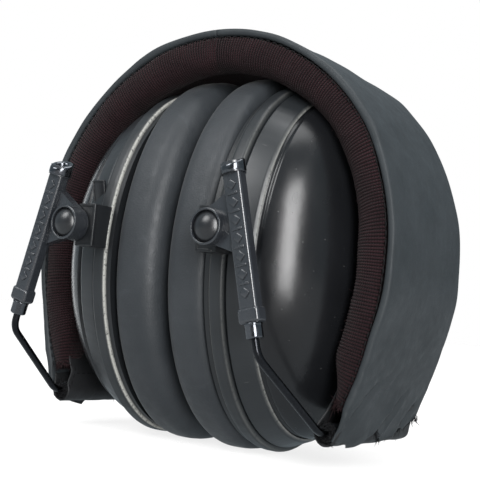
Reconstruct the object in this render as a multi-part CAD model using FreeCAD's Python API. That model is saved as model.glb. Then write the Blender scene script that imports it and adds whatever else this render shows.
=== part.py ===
"""Folding earmuff hearing protector, folded shut with both cups inside the headband.

Frame: +Z up, +X to the wearer's side of the right cup, -Y to the front, millimetres.
The origin is under the middle of the object, on the surface that it stands on.
"""
import FreeCAD, Part
import math
import os
from FreeCAD import Rotation, Vector

# ---------------------------------------------------------------- driving dimensions
BAND_R = 52.0            # inside radius of the crown's spring strip
BAND_CENTRE_Z = 51.5     # height of the crown arc's centre
HINGE_X = 41.5           # bail hinge axis, from the middle plane
HINGE_Z = 9.0            # bail hinge axis, above the table
BAND_HALF_W = 19.6       # half width of the headband cover
COVER = (0.95, 3.4)      # radial start and end of the vinyl cover
STRIP_T = 0.7            # spring strip thickness
STRIP_HALF_W = 9.0
LINER_HALF_W = 18.0
LINER_EDGE = 7.6         # liner depth at its two rolled edges
LINER_STEPS = ((9.0, 4.4), (10.33, 5.467), (11.67, 6.533))  # half width and depth of its hollow
FLEX_ANGLE = 50.0        # where the headband's sides bend, from the crown
SOFT_GAP = 0.3           # clearance round soft parts and moving bodies

BAIL_LEAN = 15.0         # bail leans inwards from upright when folded
WIRE_R = 0.9
WIRE_BEND_R = 3.5
WIRE_CROSS_HALF = 21.5   # half length of the bail's cross part
LEG_Y = 43.0             # the bail's parallel legs
LEG_BEND_S = 17.0        # bend of each leg, measured along the bail
LEG_END_S = 56.0
ARM_FOOT_S = 24.0
ARM_TOP_S = 59.5
PIVOT_S = 47.0           # cup pivot, along the bail from the hinge
PIVOT_OFFSET = 8.0       # cup pivot, inwards from the bail
PIN_R = 1.6
FIT = 0.06               # radial running fit of pins
PRESS = 0.02             # gap left between pieces that are pressed or glued together
THROUGH = 60.0           # long enough for a cutting tool to pass right through
WIRE_FIT = 0.08          # radial running fit of the wire in sleeves and arms

CUP_Z = 47.0             # centre height of the cup
CUP_A = 35.0             # half width of the cup rim (Y)
CUP_B = 46.5             # half height of the cup rim (Z)
CUSHION_FACE_X = 0.35
CUSHION_BACK_X = 14.4
RING_X = (14.6, 15.9)    # cushion's snap ring
RIM_X = (16.0, 20.2)     # cup rim
RIM_GROOVE_X = (17.6, 18.2)
RIM_GROOVE_DEPTH = 0.6
RIM_HOLE_WIDER = 6.5     # the rim's hole, beyond the ear opening
SHELL_TOP_X = 42.6
SHELL_T = 2.2
FOAM_INSERT_X = (20.8, 33.0)
FOAM_INSERT_WIDER = 9.0
EAR_A = 19.0             # ear opening, half width
EAR_B = 29.0             # ear opening, half height
CUSHION_A = 35.2
CUSHION_B = 48.0         # the cushion's lowest part is flattened by the table
CUSHION_ROUND = (10.0, 2.0)  # edge radii at the ear side and at the back

HINGE_R_OUT = 2.2
TAB_R_OUT = 3.4
TAB_HALF_W = 19.0
SLEEVE_HALF_W = 18.6

SIDES = {"right": 1, "left": -1}
parts = {}


# ---------------------------------------------------------------- helpers
def save(name, shape):
    """Keep one sub-part, after checking that it is a closed, valid solid."""
    if not shape.isValid():
        raise RuntimeError(name + " is not a valid shape")
    parts[name] = shape


def box(x0, x1, y0, y1, z0, z1):
    return Part.makeBox(x1 - x0, y1 - y0, z1 - z0, Vector(x0, y0, z0))


def rod(radius, start, end):
    """Round bar between two points."""
    start, end = Vector(*start), Vector(*end)
    return Part.makeCylinder(radius, (end - start).Length, start, end - start)


def mirrored(shape, side):
    """The right-hand shape, or its mirror image for the left."""
    if side > 0:
        return shape
    return shape.mirror(Vector(0, 0, 0), Vector(1, 0, 0))


def front_and_rear(shape):
    """A front piece and its mirror image at the rear."""
    return shape, shape.mirror(Vector(0, 0, 0), Vector(0, 1, 0))


def both(shape):
    return Part.makeCompound(list(front_and_rear(shape)))


def ellipse_wire(x, a, b, z=CUP_Z):
    """Ellipse in the plane X = x, half width a along Y and half height b along Z."""
    if a >= b:
        curve = Part.Ellipse(Vector(x, a, z), Vector(x, 0, z + b), Vector(x, 0, z))
    else:
        curve = Part.Ellipse(Vector(x, 0, z + b), Vector(x, a, z), Vector(x, 0, z))
    return Part.Wire([curve.toShape()])


def ellipse_slab(x0, x1, a, b):
    return Part.Face(ellipse_wire(x0, a, b)).extrude(Vector(x1 - x0, 0, 0))


# ---------------------------------------------------------------- headband outline
SIDE_DROP = BAND_CENTRE_Z - HINGE_Z
SIDE_INSET = BAND_R - HINGE_X
SIDE_R = (SIDE_DROP ** 2 + SIDE_INSET ** 2) / (2 * SIDE_INSET)
SIDE_CENTRE_X = BAND_R - SIDE_R
HINGE_ANGLE = math.degrees(math.asin(SIDE_DROP / SIDE_R))


def crown_point(angle, offset):
    """Point on the crown arc, angle in degrees from the top towards +X."""
    a = math.radians(angle)
    r = BAND_R + offset
    return Vector(r * math.sin(a), 0, BAND_CENTRE_Z + r * math.cos(a))


def side_point(angle, offset):
    """Point on the right side arc, angle in degrees below the widest point."""
    a = math.radians(angle)
    r = SIDE_R + offset
    return Vector(SIDE_CENTRE_X + r * math.cos(a), 0, BAND_CENTRE_Z - r * math.sin(a))


def arc(point, start, end, offset):
    middle = (start + end) / 2.0
    return Part.Arc(point(start, offset), point(middle, offset), point(end, offset)).toShape()


def line(a, b):
    return Part.LineSegment(a, b).toShape()


def crown_face(inner, outer):
    """Slice of a headband layer over the crown, between the two places where it bends."""
    half_gap = math.degrees(0.5 * SOFT_GAP / BAND_R)
    a = FLEX_ANGLE - half_gap
    edges = [arc(crown_point, -a, a, outer),
             line(crown_point(a, outer), crown_point(a, inner)),
             arc(crown_point, a, -a, inner),
             line(crown_point(-a, inner), crown_point(-a, outer))]
    return Part.Face(Part.Wire(edges))


def side_face(inner, outer, end_above_hinge):
    """Slice of a headband layer on the right side, down to a distance above the hinge."""
    half_gap = math.degrees(0.5 * SOFT_GAP / BAND_R)
    a = FLEX_ANGLE + half_gap
    e = HINGE_ANGLE - math.degrees(end_above_hinge / SIDE_R)
    edges = [arc(crown_point, a, 90, outer),
             arc(side_point, 0, e, outer),
             line(side_point(e, outer), side_point(e, inner)),
             arc(side_point, e, 0, inner),
             arc(crown_point, 90, a, inner),
             line(crown_point(a, inner), crown_point(a, outer))]
    return Part.Face(Part.Wire(edges))


def across(face, half_width):
    """Headband layer from its slice, over the headband's width."""
    face.translate(Vector(0, -half_width, 0))
    return face.extrude(Vector(0, 2 * half_width, 0))


def roll_cut(face_maker, *args):
    """Space under the liner's thin middle, stepped, to cut from a liner of full depth."""
    deep = LINER_EDGE + 2.0
    pieces = [across(face_maker(-deep, -depth, *args), half_w) for half_w, depth in LINER_STEPS]
    return pieces[0].fuse(pieces[1:])


# ---------------------------------------------------------------- headband
LAYER_END = {"cover": 6.5, "strip": HINGE_R_OUT + 0.3, "liner": 7.0, "foam": 11.0}
RIVET_R = 1.2
RIVET_FLANGE = (1.9, 0.55)  # radius and thickness of a rivet's inner head
TONGUE_T = 0.8
TONGUE_GAP = 0.06
TONGUE_LENGTH = 9.0
RIVET_ABOVE_HINGE = 7.5
RIVET_Y = 5.0
FOAM_HALF_W = 8.0
FOAM_DEPTH = 3.2


def liner(face_maker, *args):
    whole = across(face_maker(-LINER_EDGE, -SOFT_GAP, *args), LINER_HALF_W)
    channel = across(face_maker(-FOAM_DEPTH - SOFT_GAP, 0.0, *args), FOAM_HALF_W + SOFT_GAP)
    return whole.cut(roll_cut(face_maker, *args)).cut(channel)


def headband_side(side, name):
    cover_end = LAYER_END["cover"]
    cover = across(side_face(COVER[0], COVER[1], cover_end), BAND_HALF_W)
    save(name + "_cover", mirrored(cover, side))

    radial_angle = math.radians(HINGE_ANGLE) - RIVET_ABOVE_HINGE / SIDE_R
    outwards = Vector(math.cos(radial_angle), 0, -math.sin(radial_angle))
    rivet_length = RIVET_FLANGE[1] + 0.05 + TONGUE_T + STRIP_T
    rivet_foot = side_point(math.degrees(radial_angle), STRIP_T - rivet_length)
    rivets = []
    holes = []
    for y in (-RIVET_Y, RIVET_Y):
        foot = rivet_foot + Vector(0, y, 0)
        shank = Part.makeCylinder(RIVET_R, rivet_length, foot, outwards)
        flange = Part.makeCylinder(RIVET_FLANGE[0], RIVET_FLANGE[1], foot, outwards)
        rivets.append(shank.fuse(flange).removeSplitter())
        holes.append(Part.makeCylinder(RIVET_R, 6.0, foot - outwards, outwards))
    hole = Part.makeCompound(holes)

    strip = across(side_face(0.0, STRIP_T, LAYER_END["strip"]), STRIP_HALF_W).cut(hole)
    save(name + "_spring_strip", mirrored(strip, side))
    save(name + "_strip_rivets", mirrored(Part.makeCompound(rivets), side))
    save(name + "_liner", mirrored(liner(side_face, LAYER_END["liner"]), side))
    foam = across(side_face(-FOAM_DEPTH, -SOFT_GAP, LAYER_END["foam"]), FOAM_HALF_W)
    save(name + "_band_foam", mirrored(foam, side))
    save(name + "_hinge_sleeve", mirrored(hinge_sleeve(hole), side))
    save(name + "_end_tab", mirrored(end_tab(), side))


def hinge_sleeve(rivet_holes):
    """Steel tube that the bail turns in, with the tongue that is riveted to the strip."""
    tube = rod(HINGE_R_OUT, (HINGE_X, -SLEEVE_HALF_W, HINGE_Z), (HINGE_X, SLEEVE_HALF_W, HINGE_Z))
    start = HINGE_ANGLE - math.degrees(TONGUE_LENGTH / SIDE_R)
    edges = [arc(side_point, start, HINGE_ANGLE, -TONGUE_GAP),
             line(side_point(HINGE_ANGLE, -TONGUE_GAP), side_point(HINGE_ANGLE, -TONGUE_T)),
             arc(side_point, HINGE_ANGLE, start, -TONGUE_T),
             line(side_point(start, -TONGUE_T), side_point(start, -TONGUE_GAP))]
    tongue = across(Part.Face(Part.Wire(edges)), FOAM_HALF_W)
    bore = rod(WIRE_R + WIRE_FIT, (HINGE_X, -THROUGH, HINGE_Z), (HINGE_X, THROUGH, HINGE_Z))
    return tube.fuse(tongue.cut(rivet_holes)).cut(bore).removeSplitter()


def end_tab():
    """Vinyl loop that wraps the sleeve and joins the bottom of the cover."""
    loop = rod(TAB_R_OUT, (HINGE_X, -TAB_HALF_W, HINGE_Z), (HINGE_X, TAB_HALF_W, HINGE_Z))
    start = HINGE_ANGLE - math.degrees((LAYER_END["cover"] - SOFT_GAP) / SIDE_R)
    flap_edges = [arc(side_point, start, HINGE_ANGLE, COVER[1]),
                  line(side_point(HINGE_ANGLE, COVER[1]), side_point(HINGE_ANGLE, COVER[0])),
                  arc(side_point, HINGE_ANGLE, start, COVER[0]),
                  line(side_point(start, COVER[0]), side_point(start, COVER[1]))]
    flap = across(Part.Face(Part.Wire(flap_edges)), TAB_HALF_W)
    hollow_r = HINGE_R_OUT + SOFT_GAP
    hollow = rod(hollow_r, (HINGE_X, -THROUGH, HINGE_Z), (HINGE_X, THROUGH, HINGE_Z))
    below_hinge = -0.5
    mouth_face = side_face(-TONGUE_T - SOFT_GAP, COVER[0] - PRESS, below_hinge)
    mouth = across(mouth_face, STRIP_HALF_W + SOFT_GAP)
    return loop.fuse(flap).cut(hollow).cut(mouth).removeSplitter()


def headband_crown():
    save("crown_cover", across(crown_face(COVER[0], COVER[1]), BAND_HALF_W))
    save("crown_spring_strip", across(crown_face(0.0, STRIP_T), STRIP_HALF_W))
    save("crown_liner", liner(crown_face))
    save("crown_band_foam", across(crown_face(-FOAM_DEPTH, -SOFT_GAP), FOAM_HALF_W))


# ---------------------------------------------------------------- bail and slider arms
def on_bail(shape):
    """Place a shape drawn in the bail's own frame: Z along the bail, -X towards the pivot."""
    placed = shape.copy()
    turn = FreeCAD.Placement(Vector(HINGE_X, 0, HINGE_Z), Rotation(Vector(0, 1, 0), -BAIL_LEAN))
    placed.Placement = turn.multiply(placed.Placement)
    return placed


def rounded_path(corners, radius):
    """Wire of straight runs joined by tangent arcs."""
    edges = []
    here = corners[0]
    for before, corner, after in zip(corners, corners[1:], corners[2:]):
        d_in = (corner - before).normalize()
        d_out = (after - corner).normalize()
        half_turn = d_in.getAngle(d_out) / 2.0
        cut_back = radius * math.tan(half_turn)
        start = corner - d_in * cut_back
        end = corner + d_out * cut_back
        to_middle = (d_out - d_in).normalize()
        middle = corner + to_middle * (radius / math.cos(half_turn) - radius)
        edges += [line(here, start), Part.Arc(start, middle, end).toShape()]
        here = end
    edges.append(line(here, corners[-1]))
    return Part.Wire(edges)


def bail_wire():
    half = [(LEG_Y, LEG_END_S), (LEG_Y, LEG_BEND_S), (WIRE_CROSS_HALF, 0)]
    corners = [Vector(0, -y, s) for y, s in half] + [Vector(0, y, s) for y, s in reversed(half)]
    path = rounded_path(corners, WIRE_BEND_R)
    profile = Part.Wire([Part.makeCircle(WIRE_R, corners[0], Vector(0, 0, -1))])
    wire = path.makePipeShell([profile], True, False)
    return wire if wire.ShapeType == "Solid" else Part.Solid(wire)


BAR_HALF_X = 2.25
BAR_Y = (-44.6, -41.4)
BAR_ROUND = 0.7
FOOT_HALF_X = 2.6
FOOT_Y = (-44.9, -41.1)
FOOT_HEIGHT = 3.4
COLLAR_R = 2.75
COLLAR_HEIGHT = 2.4
WEB_Y = (-43.2, -40.6)
WEB_LOW_S = 38.5
BOSS_R = 4.2
BOSS_FRONT_Y = -44.9
CAP_SEAT_Y = -43.9       # bottom of the round seat that the cap turns in
CAP_SEAT_R = 3.65
FERRULE_R = 1.95
FERRULE_LENGTH = 3.3
SPIGOT_R = 1.45          # the ferrule's thin end, pressed into the arm's foot
SPIGOT_LENGTH = 2.5


def front_arm():
    """Plastic slider arm: bar on the wire, foot, top collar, and web that carries the pivot."""
    px = -PIVOT_OFFSET
    bar = box(-BAR_HALF_X, BAR_HALF_X, BAR_Y[0], BAR_Y[1], ARM_FOOT_S, ARM_TOP_S)
    upright = [e for e in bar.Edges if e.BoundBox.ZLength > FOOT_HEIGHT]
    bar = bar.makeFillet(BAR_ROUND, upright)
    foot_top = ARM_FOOT_S + FOOT_HEIGHT
    foot = box(-FOOT_HALF_X, FOOT_HALF_X, FOOT_Y[0], FOOT_Y[1], ARM_FOOT_S, foot_top)
    foot = foot.makeFillet(BAR_ROUND, foot.Edges)
    collar = rod(COLLAR_R, (0, -LEG_Y, ARM_TOP_S - COLLAR_HEIGHT), (0, -LEG_Y, ARM_TOP_S))
    outline = [(0, ARM_TOP_S - 5.0), (px - 1.0, PIVOT_S + BOSS_R - 0.2), (px, PIVOT_S),
               (px + 0.5, PIVOT_S - BOSS_R + 0.1), (0, WEB_LOW_S)]
    points = [Vector(x, WEB_Y[0], z) for x, z in outline]
    web = Part.Face(Part.makePolygon(points + points[:1])).extrude(Vector(0, WEB_Y[1] - WEB_Y[0], 0))
    boss = rod(BOSS_R, (px, BOSS_FRONT_Y, PIVOT_S), (px, WEB_Y[1], PIVOT_S))
    arm = bar.fuse([foot, collar, web, boss])
    arm = arm.cut(rod(CAP_SEAT_R, (px, -THROUGH, PIVOT_S), (px, CAP_SEAT_Y, PIVOT_S)))
    arm = arm.cut(rod(WIRE_R + WIRE_FIT, (0, -LEG_Y, 0), (0, -LEG_Y, ARM_TOP_S + COLLAR_HEIGHT)))
    arm = arm.cut(rod(SPIGOT_R + PRESS, (0, -LEG_Y, 0), (0, -LEG_Y, ARM_FOOT_S + SPIGOT_LENGTH)))
    arm = arm.cut(rod(PIN_R + FIT, (px, -THROUGH, PIVOT_S), (px, 0, PIVOT_S)))
    return arm.removeSplitter()


def front_ferrule():
    """Steel bush under the arm's foot that guides the wire."""
    low = ARM_FOOT_S - FERRULE_LENGTH
    body = rod(FERRULE_R, (0, -LEG_Y, low), (0, -LEG_Y, ARM_FOOT_S - PRESS))
    spigot = rod(SPIGOT_R, (0, -LEG_Y, low), (0, -LEG_Y, ARM_FOOT_S + SPIGOT_LENGTH - PRESS))
    bore = rod(WIRE_R + WIRE_FIT, (0, -LEG_Y, 0), (0, -LEG_Y, ARM_TOP_S))
    return body.fuse(spigot).cut(bore).removeSplitter()


PIN_HEAD_R = 2.6
PIN_HEAD_Y = (-44.7, -44.0)
PIN_END_Y = -36.2
CAP_R = 3.4
CAP_HEIGHT = 2.1


def front_pin():
    px = -PIVOT_OFFSET
    shank = rod(PIN_R, (px, PIN_HEAD_Y[0], PIVOT_S), (px, PIN_END_Y, PIVOT_S))
    head = rod(PIN_HEAD_R, (px, PIN_HEAD_Y[0], PIVOT_S), (px, PIN_HEAD_Y[1], PIVOT_S))
    return shank.fuse(head).removeSplitter()


def front_cap():
    """Domed button pressed over the pin's head."""
    px = -PIVOT_OFFSET
    ball_r = (CAP_R ** 2 + CAP_HEIGHT ** 2) / (2.0 * CAP_HEIGHT)
    base_y = PIN_HEAD_Y[1]
    ball = Part.makeSphere(ball_r, Vector(px, base_y - CAP_HEIGHT + ball_r, PIVOT_S))
    dome_shape = ball.common(rod(CAP_R, (px, -THROUGH, PIVOT_S), (px, base_y, PIVOT_S)))
    return dome_shape.cut(rod(PIN_HEAD_R, (px, PIN_HEAD_Y[0], PIVOT_S), (px, 0, PIVOT_S)))


def bail_and_arms(side, name):
    save(name + "_bail_wire", mirrored(on_bail(bail_wire()), side))
    arm_front, arm_rear = front_and_rear(on_bail(front_arm()))
    save(name + "_front_arm", mirrored(arm_front, side))
    save(name + "_rear_arm", mirrored(arm_rear, side))
    save(name + "_wire_ferrules", mirrored(both(on_bail(front_ferrule())), side))
    save(name + "_pivot_pins", mirrored(both(on_bail(front_pin())), side))
    save(name + "_pivot_caps", mirrored(both(on_bail(front_cap())), side))


# ---------------------------------------------------------------- ear cup
LEAN = math.radians(BAIL_LEAN)
PIVOT_X = HINGE_X - PIVOT_S * math.sin(LEAN) - PIVOT_OFFSET * math.cos(LEAN)
PIVOT_Z = HINGE_Z + PIVOT_S * math.cos(LEAN) - PIVOT_OFFSET * math.sin(LEAN)
SHELL_BASE_X = 18.0
SHELL_A = 33.4
SHELL_B = 44.2
SHELL_POWER = 2.25       # fullness of the shell's dome
DOME_LEVELS = (0.0, 0.22, 0.42, 0.6, 0.75, 0.87, 0.95, 0.985, 0.998)


def dome(x_base, x_top, a, b):
    """Closed dome on an elliptical base, lofted through ellipses."""
    depth = x_top - x_base
    sections = []
    for t in DOME_LEVELS:
        scale = (1.0 - t ** SHELL_POWER) ** (1.0 / SHELL_POWER)
        sections.append(ellipse_wire(x_base + depth * t, a * scale, b * scale))
    return Part.makeLoft(sections, True, False)


def cup_shell():
    outer = dome(SHELL_BASE_X, SHELL_TOP_X, SHELL_A, SHELL_B)
    inner = dome(SHELL_BASE_X - 0.01, SHELL_TOP_X - SHELL_T, SHELL_A - SHELL_T, SHELL_B - SHELL_T)
    return outer.cut(inner)


def cup_rim():
    """Ring that closes the shell: grooved on its outside, open in the middle."""
    ring = ellipse_slab(RIM_X[0], RIM_X[1], CUP_A, CUP_B)
    groove = ellipse_slab(RIM_GROOVE_X[0], RIM_GROOVE_X[1], CUP_A + 1, CUP_B + 1)
    groove_floor = ellipse_slab(RIM_X[0], RIM_X[1], CUP_A - RIM_GROOVE_DEPTH, CUP_B - RIM_GROOVE_DEPTH)
    ring = ring.cut(groove.cut(groove_floor))
    seat = ellipse_slab(SHELL_BASE_X - PRESS, RIM_X[1] + 1, SHELL_A + PRESS, SHELL_B + PRESS)
    hole = ellipse_slab(RIM_X[0] - 1, RIM_X[1] + 1, EAR_A + RIM_HOLE_WIDER, EAR_B + RIM_HOLE_WIDER)
    return ring.cut(seat).cut(hole)


def snap_ring():
    ring = ellipse_slab(RING_X[0], RING_X[1], CUP_A - 0.8, CUP_B - 0.8)
    return ring.cut(ellipse_slab(RING_X[0] - 1, RING_X[1] + 1, EAR_A + 2.0, EAR_B + 2.0))


def edges_at(shape, x):
    return [e for e in shape.Edges if abs(e.BoundBox.XMin - x) < 1e-4 and abs(e.BoundBox.XMax - x) < 1e-4]


def cushion():
    """Foam-filled ear cushion, a ring with rounded edges and a flat where it stands."""
    slab = ellipse_slab(CUSHION_FACE_X, CUSHION_BACK_X, CUSHION_A, CUSHION_B)
    slab = slab.makeFillet(CUSHION_ROUND[0], edges_at(slab, CUSHION_FACE_X))
    slab = slab.makeFillet(CUSHION_ROUND[1], edges_at(slab, CUSHION_BACK_X))
    opening = ellipse_slab(CUSHION_FACE_X - 1, CUSHION_BACK_X + 1, EAR_A, EAR_B)
    below_table = box(0, THROUGH, -THROUGH, THROUGH, -THROUGH, 0)
    return slab.cut(opening).cut(below_table)


def foam_insert():
    """Sound-absorbing foam in the shell."""
    half_width, half_height = EAR_A + FOAM_INSERT_WIDER, EAR_B + FOAM_INSERT_WIDER
    return dome(FOAM_INSERT_X[0], FOAM_INSERT_X[1], half_width, half_height)


LUG_Y = (-40.2, -30.0)
LUG_HALF_Z = 5.2
LUG_CLEAR = 0.08         # gap between the lug and the rim's wall


def front_lug():
    """Block on the cup rim that the pivot pin goes into."""
    barrel = rod(BOSS_R, (PIVOT_X, LUG_Y[0], PIVOT_Z), (PIVOT_X, LUG_Y[1], PIVOT_Z))
    foot = box(RIM_X[0], PIVOT_X, LUG_Y[0], LUG_Y[1], PIVOT_Z - LUG_HALF_Z, PIVOT_Z + LUG_HALF_Z)
    keep_out = ellipse_slab(0, SHELL_TOP_X, CUP_A + LUG_CLEAR, CUP_B + LUG_CLEAR)
    bore = rod(PIN_R + PRESS, (PIVOT_X, -THROUGH, PIVOT_Z), (PIVOT_X, PIN_END_Y + PRESS, PIVOT_Z))
    return barrel.fuse(foot).cut(keep_out).cut(bore).removeSplitter()


def ear_cup(side, name):
    save(name + "_cup_shell", mirrored(cup_shell(), side))
    save(name + "_cup_rim", mirrored(cup_rim(), side))
    save(name + "_snap_ring", mirrored(snap_ring(), side))
    save(name + "_ear_cushion", mirrored(cushion(), side))
    save(name + "_foam_insert", mirrored(foam_insert(), side))
    save(name + "_pivot_lugs", mirrored(both(front_lug()), side))


# ---------------------------------------------------------------- the whole object
headband_crown()
for side_name, sign in SIDES.items():
    headband_side(sign, side_name)
    bail_and_arms(sign, side_name)
    ear_cup(sign, side_name)

os.makedirs("parts", exist_ok=True)
for part_name, part_shape in parts.items():
    part_shape.exportStep("parts/" + part_name + ".step")
    print("%-24s %2d solids %9.1f mm3" % (part_name, len(part_shape.Solids), part_shape.Volume))
print("pivot", round(PIVOT_X, 3), round(PIVOT_Z, 3))
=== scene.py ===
"""Folding earmuff hearing protector, folded shut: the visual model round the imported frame."""
import math

import bmesh
import bpy
import numpy as np
from mathutils import Matrix, Vector


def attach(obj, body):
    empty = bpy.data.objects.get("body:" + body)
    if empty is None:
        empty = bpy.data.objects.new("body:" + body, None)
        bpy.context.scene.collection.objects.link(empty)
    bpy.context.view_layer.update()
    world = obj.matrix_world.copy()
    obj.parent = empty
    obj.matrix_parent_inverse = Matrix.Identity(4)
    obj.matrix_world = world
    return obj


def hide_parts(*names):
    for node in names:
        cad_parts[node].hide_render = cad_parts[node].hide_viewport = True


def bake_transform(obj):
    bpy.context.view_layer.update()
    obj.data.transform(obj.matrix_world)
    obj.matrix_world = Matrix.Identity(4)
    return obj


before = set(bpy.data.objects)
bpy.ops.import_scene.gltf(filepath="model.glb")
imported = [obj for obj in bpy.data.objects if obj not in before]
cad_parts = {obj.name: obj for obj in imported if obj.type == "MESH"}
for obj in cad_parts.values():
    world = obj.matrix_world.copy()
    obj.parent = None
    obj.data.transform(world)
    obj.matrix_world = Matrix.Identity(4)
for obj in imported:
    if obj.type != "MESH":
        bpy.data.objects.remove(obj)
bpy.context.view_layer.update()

# -------------------- sizes, in millimetres
MM = 0.001
BAND_R = 52.0            # inside radius of the crown, at the spring strip
BAND_Z = 51.5
SIDE_R = 91.262          # radius of the sides of the band
SIDE_X = -39.262
CROWN_LENGTH = BAND_R * math.pi / 2
HINGE = (41.5, 9.0)      # axis of the bail's hinge, x and z
HINGE_TURN = math.radians(27.757)
HINGE_S = CROWN_LENGTH + SIDE_R * HINGE_TURN
WRAP_R = 3.4             # outside of the cover where it goes round the bail
WRAP_LENGTH = WRAP_R * math.pi
WRAP_END = HINGE_S + WRAP_LENGTH
COVER_OUT = 2.85         # outside and inside of the cover, from the spring strip
COVER_INNER = 0.95
CREASED_S = 96.0         # from here down the cover is creased
CRUMPLED_S = 117.0       # and from here its raw end is crumpled
TAB_OUT = 3.05
TAB_START = HINGE_S - 8.0
TAB_HALF = 19.3
SEAM_Y = 19.25
LINER_END = HINGE_S - 6.5
PAD_END = HINGE_S - 11.0
LOOP_PITCH = 0.62        # one knitted loop to the next, and one rib to the next
RIB_PITCH = 0.78

BAIL_LEAN = math.radians(15.0)
LEG_Y = 43.0
LEG_BEND_S = 17.0
LEG_END_S = 56.0
WIRE_CROSS_HALF = 21.5
WIRE_R = 0.9
ARM_FOOT_S = 24.0
ARM_TOP_S = 59.5
PIVOT_S = 47.0
PIVOT_OFFSET = 8.0
CAP_Y, BOSS_Y = -44.0, -44.9
MARK_Y = -44.65          # face of the arm, for its height marks
MARK_PITCH = 2.0

CUP_Z = 47.0
CUP_STEPS = 192          # points round the shell, the skirt and the rim
CUSHION_X = (0.36, 14.4)
CUSHION_A, CUSHION_B = 35.2, 48.0
EAR_A, EAR_B = 19.0, 29.0
SHELL_BASE_X, SHELL_TOP_X = 18.0, 43.2
SHELL_WALL = 2.2
SHELL_A, SHELL_B = 33.4, 44.2
SHELL_POWER = 2.4
SHELL_RISE, CUSHION_RISE = 0.5, 2.4
SKIRT_LIP_X = 26.6       # edges that are worn pale
RIM_EDGE_X, RIM_LIP_X = 16.3, 19.95
LUG_Y, LUG_HALF = -39.9, 4.9
CATCH_PLACE = (22.7, -32.05, 61.2)
CATCH_LEAN = math.radians(14.0)
PUFF_PRESSURE = 4.0
PUFF_STIFFNESS = 12.0
PUFF_BENDING = 0.4
PUFF_FRAMES = 20
PUFF_LIMIT = 1.6         # the farthest that a point of the cushion may be blown

SIDES = {"right": 1, "left": -1}


# -------------------- mesh helpers
def smooth(t):
    t = np.clip(t, 0.0, 1.0)
    return t * t * (3.0 - 2.0 * t)


def patches(u, v, seed):
    """Smooth random field from -1 to 1, one patch per unit of u and v."""
    size = 97
    table = np.random.RandomState(seed).uniform(-1, 1, (size, size))
    u, v = (np.asarray(each, float) + 31.0 for each in (u, v))
    u, v = np.broadcast_arrays(u, v)
    i, j = np.floor(u).astype(int), np.floor(v).astype(int)
    fu, fv = smooth(u - i), smooth(v - j)
    i0, i1, j0, j1 = i % size, (i + 1) % size, j % size, (j + 1) % size
    low = table[i0, j0] * (1 - fu) + table[i1, j0] * fu
    high = table[i0, j1] * (1 - fu) + table[i1, j1] * fu
    return low * (1 - fv) + high * fv


def grid(points, marks=None, wrap_rows=False, wrap_columns=True, caps=True):
    """Shape from rows and columns of points: (points, faces, marks)."""
    rows, columns = points.shape[:2]
    r = np.arange(rows if wrap_rows else rows - 1)
    c = np.arange(columns if wrap_columns else columns - 1)
    r, c = np.meshgrid(r, c, indexing="ij")
    r1, c1 = (r + 1) % rows, (c + 1) % columns
    quads = np.stack([r * columns + c, r * columns + c1, r1 * columns + c1, r1 * columns + c], -1)
    faces = [tuple(q) for q in quads.reshape(-1, 4).tolist()]
    if wrap_columns and caps and not wrap_rows:
        faces.append(tuple(range(columns)))
        faces.append(tuple(range((rows - 1) * columns, rows * columns)))
    if marks is None:
        marks = points
    return points.reshape(-1, 3), faces, np.broadcast_to(marks, points.shape).reshape(-1, 3)


def join(shapes):
    """One shape from several."""
    points, faces, marks, start = [], [], [], 0
    for p, f, m in shapes:
        points.append(p)
        marks.append(m)
        faces += [tuple(i + start for i in face) for face in f]
        start += len(p)
    return np.concatenate(points), faces, np.concatenate(marks)


def moved(shape, change):
    """A shape whose points went through a function."""
    points, faces, marks = shape
    return change(points), faces, marks


def shifted(shape, offset):
    return moved(shape, lambda points: points + np.array(offset))


def tube(path, radii, sides=8, across=(1.0, 0.0, 0.0)):
    """Round bar along a path; across is a direction that the path never takes."""
    path = np.asarray(path, float)
    radii = np.broadcast_to(np.asarray(radii, float), len(path))
    ahead = np.gradient(path, axis=0)
    ahead /= np.linalg.norm(ahead, axis=1)[:, None]
    across = np.asarray(across, float)
    u = across - (ahead @ across)[:, None] * ahead
    u /= np.linalg.norm(u, axis=1)[:, None]
    v = np.cross(ahead, u)
    a = np.linspace(0, 2 * math.pi, sides, endpoint=False)
    ring = np.cos(a)[None, :, None] * u[:, None, :] + np.sin(a)[None, :, None] * v[:, None, :]
    return grid(path[:, None, :] + radii[:, None, None] * ring)


def rounded(corners, radius, steps=4, closed=False):
    """Line through corners, each cut short by the radius and turned with a curve."""
    corners = np.asarray(corners, float)
    count = len(corners)
    line = [] if closed else [corners[0]]
    for i in range(count) if closed else range(1, count - 1):
        before, here, after = corners[i - 1], corners[i], corners[(i + 1) % count]
        back, on = before - here, after - here
        reach = min(radius, 0.48 * np.linalg.norm(back), 0.48 * np.linalg.norm(on))
        start = here + back / np.linalg.norm(back) * reach
        end = here + on / np.linalg.norm(on) * reach
        for t in np.linspace(0, 1, steps):
            line.append((1 - t) ** 2 * start + 2 * t * (1 - t) * here + t * t * end)
    if not closed:
        line.append(corners[-1])
    return np.array(line)


def resample(line, count, closed=False):
    """Points at equal steps along a line, and their distances along it."""
    line = np.asarray(line, float)
    if closed:
        line = np.vstack([line, line[:1]])
    lengths = np.linalg.norm(np.diff(line, axis=0), axis=1)
    along = np.concatenate([[0], np.cumsum(lengths)])
    at = np.linspace(0, along[-1], count, endpoint=not closed)
    return np.stack([np.interp(at, along, column) for column in line.T], -1), at


def lathe(profile, closed=False):
    """Turned shape from (radius, height) pairs, about its own third axis; closed makes a ring."""
    profile = np.asarray(profile, float)
    a = np.linspace(0, 2 * math.pi, 56, endpoint=False)
    r, h = profile[:, 0][:, None], profile[:, 1][:, None]
    points = np.stack([r * np.cos(a), r * np.sin(a), h + 0 * a], -1)
    return grid(points, wrap_rows=closed)


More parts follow.
